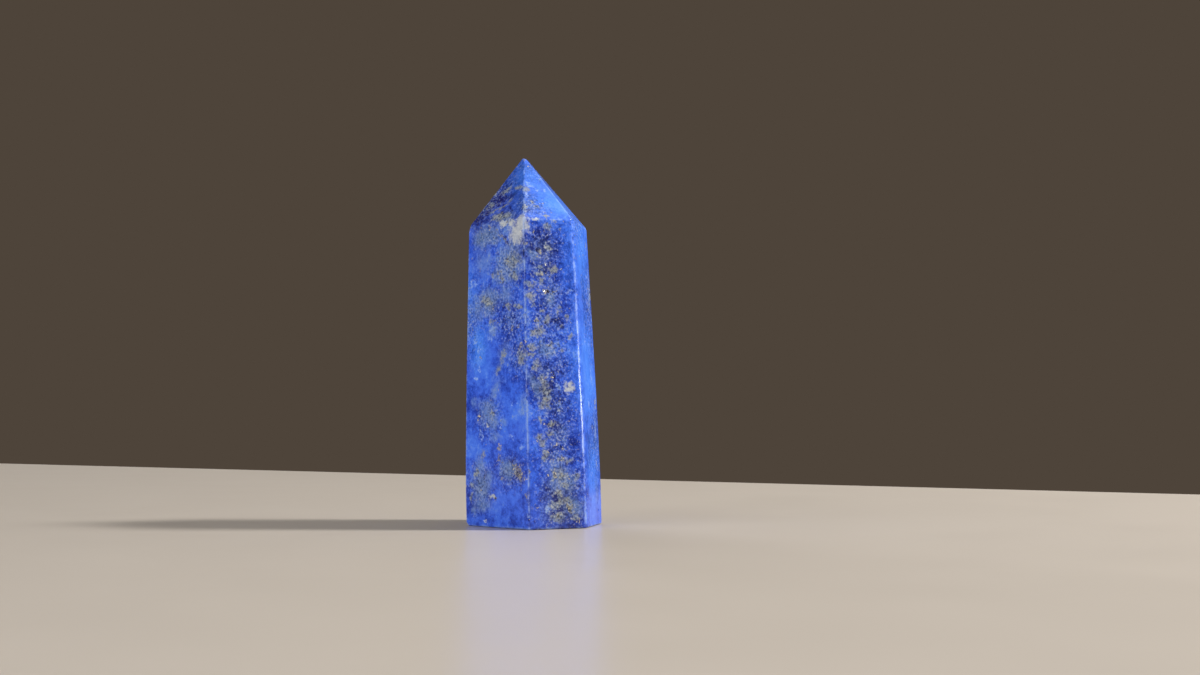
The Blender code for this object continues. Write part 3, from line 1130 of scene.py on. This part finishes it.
@dataclass
class PaleTable:
    """The pale satin board that the stone stands on. Its far edge runs away to the left."""

    colour: str = "#bbb4ab"
    roughness: float = 0.3
    roughness_swing: float = 0.03
    ior: float = 1.45
    grain_size: float = 25.0 * MM
    grain_detail: float = 3.0

    # Its corners from above, in metres, and how far it lies below the stone's foot
    corners: tuple[tuple[float, float], ...] = ((-2.35, 1.59), (-2.35, -2.0), (2.0, -2.0), (2.0, -0.95))
    drop: float = 0.03 * MM

    def material(self) -> Material:
        """Build the satin lacquer: pale and warm, with a soft reflection that varies a little.

        Returns:
            The finished material.
        """
        made = bpy.data.materials.new("satin lacquered board")
        made.use_nodes = True
        tree = made.node_tree
        shader = tree.nodes["Principled BSDF"]
        shader.inputs["IOR"].default_value = self.ior
        here = add_node(tree, "ShaderNodeTexCoord").outputs["Object"]
        waves = noise(tree, here, self.grain_size, self.grain_detail).outputs["Fac"]
        least = self.roughness - self.roughness_swing
        gloss = maths(tree, "MULTIPLY_ADD", waves, 2.0 * self.roughness_swing, least)
        tree.links.new(gloss, shader.inputs["Roughness"])
        shader.inputs["Base Color"].default_value = linear_colour(self.colour)
        return made

    def build(self) -> Object:
        """Lay the board as one flat face.

        Returns:
            The table.
        """
        mesh = bpy.data.meshes.new("table")
        mesh.from_pydata([(x, y, -self.drop) for x, y in self.corners], [], [(0, 1, 2, 3)])
        mesh.materials.append(self.material())
        table = bpy.data.objects.new("table", mesh)
        bpy.context.scene.collection.objects.link(table)
        return table


@dataclass(frozen=True)
class Panel:
    """A soft light that faces its target, with angles in degrees and lengths in metres.

    Its brightness is that of a white card at the target, turned towards it.
    """

    name: str
    bearing: float
    elevation: float
    distance: float
    width: float
    height: float
    brightness: float
    colour: str = "#ffffff"
    glossy: bool = True

    def build(self, target: Vector) -> Object:
        """Hang the light and aim it.

        Args:
            target: The point it faces.

        Returns:
            The light.
        """
        data = bpy.data.lights.new(self.name, "AREA")
        data.shape = "RECTANGLE"
        data.size, data.size_y = self.width, self.height
        data.color = linear_colour(self.colour)[:3]
        # The card is as bright as the power, divided by the square of pi times the distance
        data.energy = self.brightness * (math.pi * self.distance) ** 2
        light = bpy.data.objects.new(self.name, data)
        rise = math.radians(self.elevation)
        away = bearing_direction(self.bearing) * math.cos(rise) + Vector((0.0, 0.0, math.sin(rise)))
        light.location = target + away * self.distance
        light.rotation_euler = away.to_track_quat("Z", "Y").to_euler()
        light.visible_camera = False
        light.visible_glossy = self.glossy
        bpy.context.scene.collection.objects.link(light)
        return light


@dataclass(frozen=True)
class Studio:
    """Soft daylight from a window on the right, a low fill from the left, and a dim taupe room."""

    room: str = "#4e443a"
    room_strength: float = 1.0
    panels: tuple[Panel, ...] = (
        Panel("window light", 88.5, 41.0, 0.9, 0.12, 0.12, 1.38, "#fffaf4"),
        Panel("high window", 105.0, 68.0, 0.9, 1.2, 1.2, 0.4),
        Panel("window sill", 97.0, 4.0, 1.0, 0.15, 0.05, 0.1),
        Panel("front fill", -54.0, 12.0, 1.2, 0.9, 0.8, 0.65, glossy=False),
        Panel("left card", -30.0, 10.0, 1.2, 0.5, 0.8, 0.22),
        Panel("back fill", 205.0, 30.0, 0.9, 0.5, 0.5, 0.35, glossy=False),
    )
    target: tuple[float, float, float] = (0.0, 0.0, 35.0 * MM)

    def build(self) -> None:
        """Hang the lights and paint the room."""
        scene = bpy.context.scene
        world = bpy.data.worlds.new("dim room")
        scene.world = world
        world.use_nodes = True
        background = world.node_tree.nodes["Background"]
        background.inputs["Color"].default_value = linear_colour(self.room)
        background.inputs["Strength"].default_value = self.room_strength
        for panel in self.panels:
            panel.build(Vector(self.target))
        scene.view_settings.view_transform = "Standard"


@dataclass(frozen=True)
class PhotographView:
    """The photograph's camera: low in front of the stone, a little to its right, pitched slightly up."""

    location: tuple[float, float, float] = (13.31 * MM, -316.95 * MM, 23.32 * MM)
    pitch: float = 2.68
    focal_length: float = 46.5
    sensor_width: float = 36.0
    nearest: float = 10.0 * MM

    def build(self) -> Object:
        """Set the camera up.

        Returns:
            The scene's camera.
        """
        data = bpy.data.cameras.new("photograph view")
        data.lens, data.sensor_width = self.focal_length, self.sensor_width
        data.clip_start = self.nearest
        camera = bpy.data.objects.new("photograph view", data)
        camera.location = self.location
        camera.rotation_euler = (math.radians(90.0 + self.pitch), 0.0, 0.0)
        bpy.context.scene.collection.objects.link(camera)
        bpy.context.scene.camera = camera
        return camera


def main() -> None:
    """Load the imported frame, then build the stone, its table, its light and its camera."""
    logging.basicConfig(level=logging.INFO, format="%(name)s: %(message)s")
    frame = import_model()
    Tower(frame["nodes"]["tower"]).build()
    log.info("table: %s", PaleTable().build().name)
    Studio().build()
    log.info("camera: %s", PhotographView().build().name)


if __name__ == "__main__":
    main()
